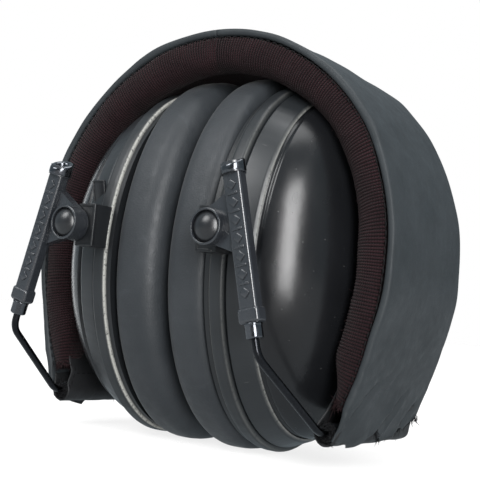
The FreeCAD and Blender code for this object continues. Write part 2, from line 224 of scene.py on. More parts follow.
def bevelled_box(size, bevel):
    """Box about the origin with bevelled edges."""
    work = bmesh.new()
    bmesh.ops.create_cube(work, size=1.0, matrix=Matrix.Diagonal((*size, 1.0)))
    bmesh.ops.bevel(work, geom=work.edges[:], offset=bevel, segments=2, profile=0.6, affect="EDGES")
    points = np.array([v.co[:] for v in work.verts])
    faces = [tuple(v.index for v in f.verts) for f in work.faces]
    work.free()
    return points, faces, points


def bars(rows, bevel):
    """Bevelled bars from (size, centre) rows, as one shape."""
    return join([shifted(bevelled_box(size, bevel), centre) for size, centre in rows])


def mirror(points, side=1, rear=False):
    """Points of the right front, taken to another side."""
    return points * np.array([side, -1.0 if rear else 1.0, 1.0])


def with_rear(shape):
    """A shape at the front with its copy at the rear."""
    return join([shape, moved(shape, lambda points: mirror(points, 1, True))])


def make(name, shape, material, side=1):
    """Blender mesh from a shape of the right-hand side, in millimetres."""
    points, faces, marks = shape
    mesh = bpy.data.meshes.new(name)
    mesh.from_pydata((mirror(points, side) * MM).tolist(), [], faces)
    layer = mesh.attributes.new("surf", "FLOAT_VECTOR", "POINT")
    layer.data.foreach_set("vector", np.asarray(marks, np.float32).ravel())
    work = bmesh.new()
    work.from_mesh(mesh)
    bmesh.ops.recalc_face_normals(work, faces=work.faces[:])
    work.to_mesh(mesh)
    work.free()
    mesh.shade_smooth()
    mesh.materials.append(material)
    piece = bpy.data.objects.new(name, mesh)
    bpy.context.scene.collection.objects.link(piece)
    return piece


# -------------------- materials
def colour_sockets(sockets):
    return [socket for socket in sockets if socket.type == "RGBA"]


class Look:
    """Principled material whose textures are measured in millimetres."""

    def __init__(self, name, on_surface=False, **sockets):
        self.material = bpy.data.materials.new(name)
        self.material.use_nodes = True
        self.tree = self.material.node_tree
        self.shader = self.tree.nodes["Principled BSDF"]
        for socket, value in sockets.items():
            self.shader.inputs[socket.replace("_", " ")].default_value = value
        if on_surface:
            source = self.add("ShaderNodeAttribute", attribute_name="surf")
            self.coords = source.outputs["Vector"]
        else:
            source = self.add("ShaderNodeTexCoord")
            self.coords = self.scaled(1.0 / MM, source.outputs["Object"])

    def add(self, kind, **settings):
        node = self.tree.nodes.new(kind)
        for key, value in settings.items():
            setattr(node, key, value)
        return node

    def feed(self, socket, value):
        if isinstance(value, bpy.types.NodeSocket):
            self.tree.links.new(value, socket)
        else:
            socket.default_value = (*value, 1.0) if socket.type == "RGBA" else value

    def scaled(self, scale, coords=None):
        node = self.add("ShaderNodeVectorMath", operation="MULTIPLY")
        self.feed(node.inputs[0], coords or self.coords)
        node.inputs[1].default_value = (scale,) * 3 if isinstance(scale, float) else scale
        return node.outputs[0]

    def part(self, axis, coords=None):
        node = self.add("ShaderNodeSeparateXYZ")
        self.feed(node.inputs[0], coords or self.coords)
        return node.outputs[axis]

    def noise(self, size, detail=3.0, coords=None):
        """Noise with patches of the given size."""
        scale = 1.0 / size if isinstance(size, float) else tuple(1.0 / s for s in size)
        node = self.add("ShaderNodeTexNoise")
        node.inputs["Scale"].default_value = 1.0
        node.inputs["Detail"].default_value = detail
        self.feed(node.inputs["Vector"], self.scaled(scale, coords))
        return node.outputs["Fac"]

    def cells(self, size, feature="F1"):
        node = self.add("ShaderNodeTexVoronoi", feature=feature)
        node.inputs["Scale"].default_value = 1.0
        self.feed(node.inputs["Vector"], self.scaled(1.0 / size))
        return node.outputs["Distance"]

    def math(self, operation, a, b=0.0):
        node = self.add("ShaderNodeMath", operation=operation)
        self.feed(node.inputs[0], a)
        self.feed(node.inputs[1], b)
        return node.outputs[0]

    def spread(self, value, low, high, to_low=0.0, to_high=1.0):
        node = self.add("ShaderNodeMapRange")
        self.feed(node.inputs["Value"], value)
        for key, number in (("From Min", low), ("From Max", high),
                            ("To Min", to_low), ("To Max", to_high)):
            node.inputs[key].default_value = number
        return node.outputs["Result"]

    def mix(self, factor, a, b):
        node = self.add("ShaderNodeMix", data_type="RGBA")
        self.feed(node.inputs["Factor"], factor)
        for socket, colour in zip(colour_sockets(node.inputs), (a, b)):
            self.feed(socket, colour)
        return colour_sockets(node.outputs)[0]

    def colour(self, value):
        self.feed(self.shader.inputs["Base Color"], value)

    def rough(self, value):
        self.feed(self.shader.inputs["Roughness"], value)

    def bump(self, *layers):
        """Relief from (height, depth in millimetres) layers."""
        normal = None
        for height, depth in layers:
            node = self.add("ShaderNodeBump")
            node.inputs["Strength"].default_value = 1.0
            node.inputs["Distance"].default_value = depth * MM
            self.feed(node.inputs["Height"], height)
            if normal:
                self.feed(node.inputs["Normal"], normal)
            normal = node.outputs["Normal"]
        self.feed(self.shader.inputs["Normal"], normal)


def vinyl(name, dark, light, roughness, grain, on_surface=True, gloss=0.16, sheen=0.0):
    """Matte vinyl skin with a fine leather grain, faint scuffs and uneven colour."""
    look = Look(name, on_surface, Sheen_Weight=sheen, Sheen_Roughness=0.4,
                Specular_IOR_Level=gloss)
    broad = look.noise(11.0, 3.0)
    scuffs = look.spread(look.noise((9.0, 1.1, 3.0), 5.0), 0.62, 0.8)
    tone = look.mix(look.spread(broad, 0.3, 0.7), dark, light)
    scuffed = tuple(1.9 * c for c in light)
    look.colour(look.mix(look.math("MULTIPLY", scuffs, 0.35), tone, scuffed))
    look.rough(look.spread(look.noise(2.4, 5.0), 0.3, 0.7, roughness - 0.07, roughness + 0.08))
    pebble = look.cells(grain, "SMOOTH_F1")
    look.bump((pebble, 0.035), (look.noise(0.16, 2.0), 0.012), (look.noise(5.0, 3.0), 0.12))
    return look.material


def knit():
    """Ribbed maroon knit: ribs run across the band, each with its own row of loops; the grooves
    between ribs and the gaps between loops are painted near black as painted shade.
    """
    look = Look("liner_knit", True, Sheen_Weight=0.04, Sheen_Roughness=0.5, Specular_IOR_Level=0.08)
    along = look.math("DIVIDE", look.part("X"), RIB_PITCH)
    in_rib = look.math("ABSOLUTE", look.math("SUBTRACT", look.math("FRACT", along), 0.5))
    wobble = look.math("MULTIPLY", look.noise(2.0, 2.0), 1.5)
    across = look.math("DIVIDE", look.part("Y"), LOOP_PITCH)
    turns = look.math("ADD", across, look.math("MULTIPLY", in_rib, 1.1))
    loops = look.math("SINE", look.math("MULTIPLY", look.math("ADD", turns, wobble), 2 * math.pi))
    loops = look.spread(loops, -1.0, 1.0)
    # Painted shade: the grooves between ribs and the gaps between loops are darkened in the colour.
    groove_shade = look.spread(in_rib, 0.14, 0.40)
    deep = look.math("MAXIMUM", groove_shade, look.spread(loops, 0.35, 0.0, 0.0, 0.7))
    patchy = look.spread(look.noise(7.0, 4.0), 0.3, 0.7)
    yarn = look.mix(patchy, (0.0092, 0.0033, 0.0043), (0.0165, 0.0058, 0.0073))
    # The near-black colour here is painted shade in the grooves and between the loops.
    look.colour(look.mix(deep, yarn, (0.0016, 0.0009, 0.0012)))
    look.rough(0.92)
    look.bump((loops, 0.10), (look.noise(0.12, 3.0), 0.05))
    return look.material


def plastic(name, base, roughness, wear=None, on_surface=False, smear=0.05, texture=0.004,
            gloss=0.5):
    """Moulded plastic: fine texture, faint smears, and pale wear where the marks say so."""
    look = Look(name, on_surface, Specular_IOR_Level=gloss)
    drift = look.spread(look.noise(14.0, 4.0), 0.3, 0.7)
    tone = look.mix(drift, base, tuple(1.35 * c for c in base))
    smears = look.noise((2.5, 6.0, 9.0), 5.0)
    specks = look.spread(look.cells(3.1), 0.06, 0.02)
    tone = look.mix(look.math("MULTIPLY", specks, 0.25), tone, (0.20, 0.20, 0.19))
    rough = look.spread(smears, 0.3, 0.7, roughness - smear, roughness + smear)
    if wear:
        chips = look.spread(look.noise(0.9, 5.0), 0.30, 0.46)
        worn = look.math("MULTIPLY", look.part("Z"), chips)
        tone = look.mix(worn, tone, wear)
        rough = look.math("ADD", rough, look.math("MULTIPLY", worn, 0.25))
    look.colour(tone)
    look.rough(rough)
    look.bump((look.noise(0.22, 2.0), texture), (look.noise(6.0, 3.0), 0.05))
    return look.material


def metal(name, base, roughness, streak=(0.25, 3.0, 0.25)):
    look = Look(name, False, Metallic=1.0)
    lines = look.noise(streak, 4.0)
    dull = tuple(0.7 * c for c in base)
    look.colour(look.mix(look.spread(lines, 0.3, 0.7), dull, base))
    look.rough(look.spread(look.noise(1.6, 5.0), 0.3, 0.7, roughness - 0.06, roughness + 0.1))
    look.bump((lines, 0.01))
    return look.material


def foam():
    look = Look("pad_foam", False, Specular_IOR_Level=0.2)
    pores = look.cells(0.55)
    drift = look.spread(look.noise(8.0, 3.0), 0.3, 0.7)
    tone = look.mix(drift, (0.10, 0.10, 0.105), (0.15, 0.15, 0.155))
    # Painted shade: the colour is darkened in the pores, where the bump makes pits.
    look.colour(look.mix(look.spread(pores, 0.35, 0.05), tone, (0.03, 0.03, 0.03)))
    look.rough(0.95)
    look.bump((pores, 0.25))
    return look.material


def yarn(name, base):
    """Twisted thread or loose fibre."""
    look = Look(name, False, Specular_IOR_Level=0.1)
    twist = look.noise((0.5, 0.12, 0.12), 2.0)
    look.colour(look.mix(twist, tuple(0.6 * c for c in base), tuple(1.5 * c for c in base)))
    look.rough(0.85)
    look.bump((twist, 0.04))
    return look.material


# Base colours are linear.
COVER = vinyl("cover_vinyl", (0.0138, 0.0166, 0.0185), (0.0190, 0.0224, 0.0248), 0.52, 0.55)
TAB = vinyl("tab_vinyl", (0.007, 0.0075, 0.008), (0.011, 0.0115, 0.0125), 0.48, 0.5)
CUSHION = vinyl("cushion_skin", (0.0125, 0.0148, 0.0172), (0.0175, 0.0200, 0.0228), 0.52, 0.42,
                on_surface=False, gloss=0.28, sheen=0.04)
KNIT = knit()
THREAD = yarn("seam_thread", (0.0045, 0.0045, 0.005))
FLUFF = yarn("liner_fluff", (0.0105, 0.0050, 0.0056))
FOAM = foam()
SHELL = plastic("shell_plastic", (0.0035, 0.0038, 0.0044), 0.25, smear=0.03, texture=0.0015,
                gloss=0.36)
SKIRT = plastic("skirt_plastic", (0.0078, 0.0090, 0.0102), 0.36, wear=(0.30, 0.30, 0.28),
                on_surface=True, gloss=0.38)
RIM = plastic("rim_plastic", (0.0085, 0.0098, 0.0110), 0.42, wear=(0.22, 0.22, 0.205),
              on_surface=True, gloss=0.34)
LUG = plastic("lug_plastic", (0.0050, 0.0056, 0.0064), 0.36, gloss=0.36)
ARM = plastic("arm_plastic", (0.0095, 0.0108, 0.0130), 0.24, texture=0.012, gloss=0.75)
BUTTON = plastic("button_plastic", (0.0045, 0.0050, 0.0060), 0.33)
WIRE = metal("black_wire", (0.026, 0.027, 0.030), 0.25)
STEEL = metal("steel", (0.42, 0.42, 0.41), 0.26)
BLACK_CHROME = metal("black_chrome", (0.11, 0.115, 0.125), 0.16)
SPRING = metal("spring_steel", (0.24, 0.25, 0.28), 0.32)


# -------------------- headband
def on_band(s, y, out):
    """Points of the right half: s along the strip from the crown's top, y across, out from it."""
    s, y, out = np.broadcast_arrays(*(np.asarray(each, float) for each in (s, y, out)))
    a = s / BAND_R
    b = (s - CROWN_LENGTH) / SIDE_R
    crown_r, side_r = BAND_R + out, SIDE_R + out
    crown = np.stack([crown_r * np.sin(a), y, BAND_Z + crown_r * np.cos(a)], -1)
    low = np.stack([SIDE_X + side_r * np.cos(b), y, BAND_Z - side_r * np.sin(b)], -1)
    return np.where((s < CROWN_LENGTH)[..., None], crown, low)


def on_path(t, y, out):
    """As on_band, then round the hinge and back up the inside of the band."""
    t, y, out = np.broadcast_arrays(*(np.asarray(each, float) for each in (t, y, out)))
    past = t - HINGE_S
    turn = HINGE_TURN + np.clip(past, 0, WRAP_LENGTH) / WRAP_R
    wrap = np.stack([HINGE[0] + out * np.cos(turn), y, HINGE[1] - out * np.sin(turn)], -1)
    outer = on_band(np.minimum(t, HINGE_S), y, out)
    inner = on_band(HINGE_S - np.maximum(past - WRAP_LENGTH, 0), y, -out)
    points = np.where((past > 0)[..., None], wrap, outer)
    return np.where((past > WRAP_LENGTH)[..., None], inner, points)


def sway(s, seed):
    """Slow unevenness of the whole band's thickness, nothing at the crown's top."""
    return 0.35 * patches(s / 13.0, 0.0, seed) * smooth((s - 6.0) / 16.0)


# How far the cover's raw end runs past the hinge, as (y, length).
COVER_END = [(-19.6, 0.5), (-14.0, 1.0), (-10.0, 3.2), (-6.0, 1.0), (-3.0, -1.5), (-1.4, -2.5),
             (0.0, -1.0), (4.5, 1.6), (8.0, 0.0), (12.0, -1.0), (17.0, -3.5), (19.6, -5.0)]
# Its folds: start and end as (t, y), then depth and width.
COVER_FOLDS = [((HINGE_S - 1.0, -2.0), (HINGE_S - 14.5, 8.6), 1.15, 0.9),
               ((HINGE_S - 5.0, -17.0), (HINGE_S - 17.0, -9.0), 0.45, 1.1),
               ((HINGE_S - 3.5, 12.0), (HINGE_S - 12.0, 17.5), 0.4, 0.9)]


def cover_end(y):
    """Where the cover's raw end lies on the path."""
    across, past = np.array(COVER_END).T
    return HINGE_S + np.interp(y, across, past)


def fold(t, y, start, end, deep, width):
    """Crease from one (t, y) point to another, the sheet standing up on both sides of it."""
    start, ahead = np.array(start), np.subtract(end, start)
    length = np.linalg.norm(ahead)
    ahead = ahead / length
    along = (t - start[0]) * ahead[0] + (y - start[1]) * ahead[1]
    aside = (y - start[1]) * ahead[0] - (t - start[0]) * ahead[1]
    strength = smooth(1.0 + along / 2.5) * smooth((length - along) / (0.6 * length))
    valley = np.exp(-(aside / width) ** 2)
    ridges = 0.5 * np.exp(-((np.abs(aside) - 2.2 * width) / (1.4 * width)) ** 2)
    return deep * strength * (ridges - valley)


def cover_half(seed):
    """Outer sheet with soft edges: dented along the band, wrinkled and frayed at its end."""
    top_y = np.linspace(-18.4, 18.4, 72)
    edge = np.array([(18.9, 0.03), (19.3, 0.12), (19.52, 0.27), (19.6, 0.5), (19.5, 0.75),
                     (19.2, 0.93), (18.6, 1.0)])
    under_y = np.linspace(17.0, -17.0, 12)
    back_edge = edge[::-1] * np.array([-1.0, 1.0])
    y = np.concatenate([top_y, edge[:, 0], under_y, back_edge[:, 0]])
    depth = np.concatenate([0 * top_y, edge[:, 1], 0 * under_y + 1.0, back_edge[:, 1]])

    ragged = np.random.RandomState(seed).uniform(-1, 1, len(y))
    end_t = cover_end(y) + 0.5 * patches(y / 2.6, 5.0, seed)
    end_t += 0.32 * ragged * smooth((y + 3.5) / 2.0)

    straight = np.arange(0.0, TAB_START, 0.8)
    k = np.linspace(0, 1, 26)[:, None]
    t = np.vstack([np.broadcast_to(straight[:, None], (len(straight), len(y))),
                   TAB_START + k * (end_t - TAB_START)[None, :]])
    y, depth = y[None, :], depth[None, :]
    fade = smooth((t - 4.0) / 18.0)
    dents = 0.42 * patches(t / 19.0, y / 15.0, seed)
    dents = dents + 0.16 * patches(t / 6.0, y / 6.0, seed + 1)
    low = smooth((t - CREASED_S) / 18.0)
    waves = (t * 0.80 + y * 0.62) * math.pi / 5.2 + 1.6 * patches(t / 9.0, y / 8.0, seed + 2)
    creases = 1.0 - np.abs(np.sin(waves))
    creases = creases ** 2 * patches(t / 8.0 + 40, y / 9.0, seed + 3) * 0.7
    bulge = 0.8 * smooth((t - CRUMPLED_S) / 7.0) * np.exp(-((y + 9.0) / 5.0) ** 2)
    lift = fade * (dents + low * creases) + bulge
    for start, end, deep, width in COVER_FOLDS:
        lift = lift + fold(t, y, start, end, deep, width)
    thick = (COVER_OUT - COVER_INNER) * (1 - 0.45 * smooth((t - CRUMPLED_S + 1.0) / 7.0))
    out = COVER_OUT + (WRAP_R - COVER_OUT) * smooth((t - CRUMPLED_S) / 8.0) + sway(t, seed)
    out = out + lift * (1 - 0.85 * depth) - depth * thick
    pull = 1.0 - 0.012 * patches(t / 10.0, 1.0, seed + 4) * fade
    pull = pull - 0.02 * smooth((t - CRUMPLED_S - 1.0) / 8.0)
    points = on_path(t, y * pull, out)
    marks = np.stack([t, y + 0 * t, depth + 0 * t], -1)
    return grid(points, marks)


def up_inside(t):
    """From 0 to 1 where the tab has gone round the hinge and runs up the inside of the band."""
    return smooth((t - WRAP_END) / 5.0)


def end_tab(seed):
    """Inner sheet: round the hinge sleeve and up the inside, to the end of the knit."""
    front = np.linspace(-TAB_HALF + 0.35, TAB_HALF - 0.35, 44)
    y = np.concatenate([front, [TAB_HALF, TAB_HALF], front[::-1], [-TAB_HALF, -TAB_HALF]])
    depth = np.concatenate([0 * front, [0.3, 0.7], 0 * front + 1.0, [0.7, 0.3]])
    t = np.arange(TAB_START, WRAP_END + 11.0, 0.45)[:, None]
    y, depth = y[None, :], depth[None, :]
    lumps = 0.16 * patches(t / 3.0, y / 4.0, seed) + 0.07 * patches(t / 1.5, y / 2.0, seed + 1)
    inside = up_inside(t)
    narrow = 1.0 - 0.12 * inside - 0.06 * smooth((HINGE_S - t) / 6.0)
    before = smooth((HINGE_S - t) / 5.0)
    out = TAB_OUT - 0.75 * before + (1 - depth) * lumps + 0.5 * inside - depth * 0.62
    marks = np.stack([t + 0 * y, y + 0 * t, depth + 0 * t], -1)
    return grid(on_path(t, y * narrow, out), marks)


# Half sections of the knit liner, as (y, out): its rolled edge with the inner face, and its top.
ROLL = [(-18.9, 0.55), (-19.35, -1.4), (-19.2, -3.9), (-18.0, -6.3), (-15.8, -7.55),
        (-13.2, -7.5), (-10.8, -6.1), (-8.6, -4.95), (-4.0, -4.45)]
LINER_TOP = [(17.6, 0.7), (9.7, 0.45), (8.8, -0.5), (8.5, -3.5)]


def both_halves(half):
    return half + [(-y, out) for y, out in half[::-1]]


def liner_face(count):
    """Inner face of the liner with its rolled edges, and the distances along it."""
    return resample(rounded(both_halves(ROLL), 2.2, 5), count)


def liner_half(seed):
    """Knit sheet with thick rolled edges and real ribs."""
    lower, width = liner_face(78)
    upper = np.array(both_halves(LINER_TOP))
    section = np.vstack([lower, upper])
    width = np.concatenate([width, np.full(len(upper), width[-1])])
    ahead = np.gradient(lower, axis=0)
    ahead /= np.linalg.norm(ahead, axis=1)[:, None]
    outward = np.stack([ahead[:, 1], -ahead[:, 0]], -1)
    outward = np.vstack([outward, np.zeros((len(upper), 2))])
    if outward[3, 0] > 0:
        outward = -outward

    s = np.arange(0.0, LINER_END, RIB_PITCH / 7.0)
    s = np.append(s, LINER_END)[:, None]
    slant = 0.5 * patches(s / 9.0, width / 9.0, seed)
    rib = np.abs(np.sin((s + slant * smooth(s / 8.0)) * math.pi / RIB_PITCH)) ** 0.7
    loop = 0.5 + 0.5 * np.sin(width / LOOP_PITCH * 2 * math.pi + 1.3 * np.floor(s / RIB_PITCH))
    soft = 0.30 * patches(s / 9.0, width / 7.0, seed + 1) * smooth((s - 4.0) / 14.0)
    shrink = 0.42 + 0.58 * smooth((LINER_END - s) / 12.0)
    taper = smooth((LINER_END - s) / 1.6)
    lift = (0.26 * rib - 0.16 + 0.04 * loop + soft)[..., None] * outward[None, :, :]
    spread = section[None, :, :] + lift
    squeeze = shrink * (0.72 + 0.28 * taper)
    out = spread[..., 1] * np.where(spread[..., 1] < 0, squeeze, 1.0) + sway(s, seed + 9)
    ends = s + 1.1 * patches(width / 1.6, 3.0, seed + 2)[None, :] * (1 - taper)
    points = on_band(ends, spread[..., 0] * (0.96 + 0.04 * shrink), out)
    marks = np.stack([s + slant, width[None, :] + 0 * s, rib + 0 * width], -1)
    return grid(points, marks)


def stitches(line):
    """Row of short stitches along a line of points."""
    length, radius, gap = 1.3, 0.15, 0.8
    line, along = resample(line, 2000)
    shapes = []
    for start in np.arange(along[0], along[-1] - length, length + gap):
        at = start + length * np.array([0.0, 0.15, 0.5, 0.85, 1.0])
        path = np.stack([np.interp(at, along, column) for column in line.T], -1)
        thickness = radius * np.array([0.3, 0.9, 1.1, 0.9, 0.3])
        shapes.append(tube(path, thickness, 6, (0.05, 1.0, 0.03)))
    return join(shapes)


def seam_half(seed):
    """Stitches along both edges of the band, between the cover and the liner."""
    s = np.arange(1.0, LINER_END, 0.7)
    return join([stitches(on_band(s, edge * SEAM_Y, 0.62 + sway(s, seed))) for edge in (-1, 1)])


def tab_stitches():
    """Four rows up the inner end of the tab and one across it."""
    t = np.arange(WRAP_END + 0.3, WRAP_END + 7.0, 0.3)
    inside = up_inside(t)
    rows = [stitches(on_path(t, y * (1 - 0.12 * inside), TAB_OUT + 0.12 + 0.5 * inside))
            for y in (-18.0, -8.0, 8.0, 18.0)]
    across = np.linspace(-15.5, 15.5, 60)
    rows.append(stitches(on_path(WRAP_END + 3.5, across, TAB_OUT + 0.5)))
    return join(rows)


def fibres(roots, leads, length, radius, seed):
    """Loose fibres: roots and leading directions, each bent its own way."""
    random = np.random.RandomState(seed)
    shapes = []
    for root, lead in zip(roots, leads):
        size = length * random.uniform(0.4, 1.2)
        lead = lead / np.linalg.norm(lead) + random.normal(0, 0.35, 3)
        bend = random.normal(0, 0.5, 3)
        k = np.linspace(0, 1, 5)[:, None]
        path = root + size * (k * lead + k * k * bend)
        thickness = radius * np.array([1.0, 1.0, 0.9, 0.7, 0.3])
        shapes.append(tube(path, thickness, 4, (0.31, 0.52, 0.79)))
    return join(shapes)


def frayed_end(seed):
    """Threads out of the cover's raw end, and fuzz round the wire where it leaves the tab."""
    random = np.random.RandomState(seed)
    y = np.concatenate([random.normal(-1.4, 1.0, 34), random.normal(4.5, 1.6, 26),
                        random.normal(18.6, 0.6, 22), random.uniform(7.0, 18.0, 16)])
    y = np.clip(y, -19.0, 19.3)
    t = cover_end(y) - random.uniform(0.0, 0.5, len(y))
    roots = on_path(t, y, WRAP_R - random.uniform(0.1, 0.9, len(y)))
    leads = on_path(t + 1.0, y, WRAP_R) - on_path(t, y, WRAP_R)
    count = 280
    turn, reach = random.uniform(0, 2 * math.pi, count), random.uniform(1.2, 3.1, count)
    end = np.where(np.arange(count) % 2 == 0, -1.0, 1.0)
    x, z = HINGE[0] + reach * np.cos(turn), HINGE[1] + reach * np.sin(turn)
    ring = np.stack([x, 18.7 * end, z], -1)
    inward = np.stack([-0.5 * np.cos(turn), 0.45 * end, -0.5 * np.sin(turn)], -1)
    return join([fibres(roots, leads, 1.3, 0.08, seed),
                 fibres(ring, inward, 1.5, 0.10, seed + 1)])


def liner_fluff(seed):
    """Fluff at the liner's cut end and here and there along its rolled edges."""
    random = np.random.RandomState(seed)
    at_end, at_edge = 420, 260
    line, _ = liner_face(240)
    pick = line[random.randint(0, 240, at_end)]
    s = LINER_END - random.uniform(0.0, 1.6, at_end)
    roots = on_band(s, 0.98 * pick[:, 0], 0.34 * pick[:, 1])
    down = on_band(LINER_END + 1.0, 0.0, 0.0) - on_band(LINER_END, 0.0, 0.0)
    leads = np.broadcast_to(down, roots.shape) + random.normal(0, 0.5, roots.shape)
    ends = fibres(roots, leads, 1.5, 0.07, seed)
    pick = line[random.randint(0, 70, at_edge)]
    edge = np.where(random.uniform(size=at_edge) < 0.5, 1.0, -1.0)
    s = random.uniform(2.0, LINER_END - 12.0, at_edge)
    roots = on_band(s, edge * pick[:, 0], pick[:, 1])
    leads = roots - on_band(s, edge * 14.0, -3.5) + random.normal(0, 3.0, roots.shape)
    return join([ends, fibres(roots, leads, 0.8, 0.05, seed + 1)])


def band_foam(seed):
    """Pad under the strip, fuller in the middle."""
    corners = [(-7.8, -0.5), (7.8, -0.5), (7.8, -3.0), (-7.8, -3.0)]
    section, _ = resample(rounded(corners, 1.1, 5, closed=True), 48, closed=True)
    s = np.arange(0.0, PAD_END, 1.0)[:, None]
    crown = 0.12 * (1 - (section[:, 0] / 8.0) ** 2) * np.sign(section[:, 1] + 1.75)
    out = section[:, 1] + crown + 0.06 * patches(s / 5.0, section[:, 0] / 4.0, seed)
    return grid(on_band(s, section[:, 0], out))


def bend_with_band(piece):
    """Bake the piece's placement into its mesh points."""
    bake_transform(piece)


for NAME, SIDE in SIDES.items():
    seed = 20 + 7 * SIDE
    cover = make(NAME + "_band_cover", cover_half(seed), COVER, SIDE)
    bend_with_band(cover)
    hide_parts(NAME + "_cover", "crown_cover")

    knitted = make(NAME + "_band_liner", liner_half(seed + 30), KNIT, SIDE)
    bend_with_band(knitted)
    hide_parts(NAME + "_liner", "crown_liner")

    pad = make(NAME + "_band_pad", band_foam(seed + 60), FOAM, SIDE)
    bend_with_band(pad)
    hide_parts(NAME + "_band_foam", "crown_band_foam")

    seam = make(NAME + "_band_seam", seam_half(seed), THREAD, SIDE)
    bend_with_band(seam)
    fluff = make(NAME + "_liner_fluff", liner_fluff(seed + 40), FLUFF, SIDE)
    bend_with_band(fluff)

    tab = make(NAME + "_sleeve_tab", end_tab(seed + 70), TAB, SIDE)
    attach(tab, NAME + "_band")
    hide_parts(NAME + "_end_tab")
    for piece_name, shape, look in (("_tab_stitches", tab_stitches(), THREAD),
                                    ("_frayed_threads", frayed_end(seed + 80), THREAD)):
        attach(make(NAME + piece_name, shape, look, SIDE), NAME + "_band")


# -------------------- bails and arms
def on_bail(points):
    """From the bail's own frame, with its third axis along the legs, to the right side's place."""
    x, y, s = points[..., 0], points[..., 1], points[..., 2]
    c, sn = math.cos(BAIL_LEAN), math.sin(BAIL_LEAN)
    return np.stack([HINGE[0] + x * c - s * sn, y, HINGE[1] + x * sn + s * c], -1)


def bail_wire():
    half = [(0, -LEG_Y, LEG_END_S), (0, -LEG_Y, LEG_BEND_S), (0, -WIRE_CROSS_HALF, 0)]
    corners = half + [(x, -y, s) for x, y, s in half[::-1]]
    path, _ = resample(rounded(corners, 2.6, 12), 420)
    radii = np.full(len(path), WIRE_R)
    radii[[0, -1]] = 0.55 * WIRE_R
    return tube(path, radii, 20)


def front_and_rear(shape):
    """The front shape in the bail's frame, placed, with its copy at the rear."""
    return with_rear(moved(shape, on_bail))


def on_pivot(shape, y):
    """Turned shape on the cup's pivot, its third axis pointing to the front."""
    def place(points):
        x, z = points[:, 0] - PIVOT_OFFSET, points[:, 1] + PIVOT_S
        return np.stack([x, y - points[:, 2], z], -1)
    return moved(shape, place)


def on_leg(shape, s):
    return shifted(shape, (0.0, -LEG_Y, s))


def cap():
    """Domed button with a small lip."""
    a = np.linspace(0.04, 1.0, 16) * math.radians(58)
    radius = 3.38 * np.sin(a) / math.sin(a[-1])
    height = 0.55 + 1.55 * (np.cos(a) - math.cos(a[-1])) / (1 - math.cos(a[-1]))
    lip = [(3.5, 0.5), (3.56, 0.35), (3.56, 0.02), (2.7, 0.0), (0.3, 0.0)]
    return on_pivot(lathe(np.vstack([np.stack([radius, height], -1), lip])), CAP_Y)


def boss_ring():
    """Raised, polished lip round the button."""
    outline = [(3.66, -0.2), (3.66, 0.28), (4.1, 0.28), (4.22, -0.2)]
    return on_pivot(lathe(rounded(outline, 0.12, 4, closed=True), closed=True), BOSS_Y)


def ferrule():
    """Metal bush at the foot of the arm, round the wire."""
    bore = WIRE_R + 0.1
    outline = [(bore, -3.3), (1.75, -3.3), (1.95, -3.05), (1.95, -0.5), (2.05, -0.4),
               (2.05, -0.04), (bore, -0.04)]
    return on_leg(lathe(rounded(outline, 0.12, 3, closed=True), closed=True), ARM_FOOT_S)


def eyelet():
    """Rolled metal eye at the top of the arm, its mouth cut towards the front."""
    outline = [(1.45, -2.2), (1.45, -0.85), (1.75, -0.5), (2.5, -0.5), (2.85, -0.85),
               (2.85, -2.2)]
    ring = lathe(rounded(outline, 0.3, 4, closed=True), closed=True)

    def cut(points):
        tilted = points.copy()
        upper = points[:, 2] > -1.5
        tilted[upper, 2] += 0.38 * (points[upper, 1] + 2.8)
        return tilted
    return on_leg(moved(ring, cut), ARM_TOP_S)


def raised_marks():
    """Height marks moulded on the arm's face: lozenges with a short rung between each pair."""
    shapes = []
    for i, s in enumerate(np.arange(30.5, 55.5, MARK_PITCH)):
        if i % 2:
            shape = bevelled_box((2.7, 0.5, 0.55), 0.12)
        else:
            turn = np.array(Matrix.Rotation(math.radians(45.0), 3, "Y"))
            shape = moved(bevelled_box((1.75, 0.5, 1.75), 0.16), lambda points: points @ turn.T)
        shapes.append(shifted(shape, (0.0, MARK_Y, s)))
    return join(shapes)


for NAME, SIDE in SIDES.items():
    wire = make(NAME + "_wire", moved(bail_wire(), on_bail), WIRE, SIDE)
    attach(wire, NAME + "_bail")
    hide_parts(NAME + "_bail_wire")
    bush = make(NAME + "_bushes", front_and_rear(ferrule()), BLACK_CHROME, SIDE)
    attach(bush, NAME + "_arms")
    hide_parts(NAME + "_wire_ferrules")
    button = make(NAME + "_buttons", front_and_rear(cap()), BUTTON, SIDE)
    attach(button, NAME + "_cup")
    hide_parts(NAME + "_pivot_caps")
    for piece_name, shape, look, slot in (("_boss_rings", boss_ring(), ARM, "arm_plastic"),
                                          ("_arm_eyelets", eyelet(), BLACK_CHROME, "steel"),
                                          ("_arm_scales", raised_marks(), ARM, "arm_plastic")):
        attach(make(NAME + piece_name, front_and_rear(shape), look, SIDE), NAME + "_arms")


# -------------------- ear cups
def taller(points, amount):
    """Cup points with the upper half drawn up into the soft band above it."""
    points[..., 2] += amount * smooth((points[..., 2] - CUP_Z) / CUP_Z)
    return points


def ovals(levels, count=CUP_STEPS):
    """Rows of ellipses from (x, half width, half height) levels."""
    levels = np.asarray(levels, float)
    a = np.linspace(0, 2 * math.pi, count, endpoint=False)
    x, wide, tall = (levels[:, i][:, None] for i in range(3))
    return taller(np.stack([x + 0 * a, wide * np.sin(a), CUP_Z + tall * np.cos(a)], -1), SHELL_RISE)


def dome_levels(first, last, count, thinner=0.0):
    """Levels of the shell's dome, from one depth to another (0 base, 1 top)."""
    levels = []
    for k in np.linspace(0, 1, count):
        t = first + (last - first) * math.sin(k * math.pi / 2)
        scale = (1 - t ** SHELL_POWER) ** (1 / SHELL_POWER)
        depth = SHELL_TOP_X - SHELL_BASE_X - thinner
        levels.append((SHELL_BASE_X + depth * t, (SHELL_A - thinner) * scale,
                       (SHELL_B - thinner) * scale))
    return levels


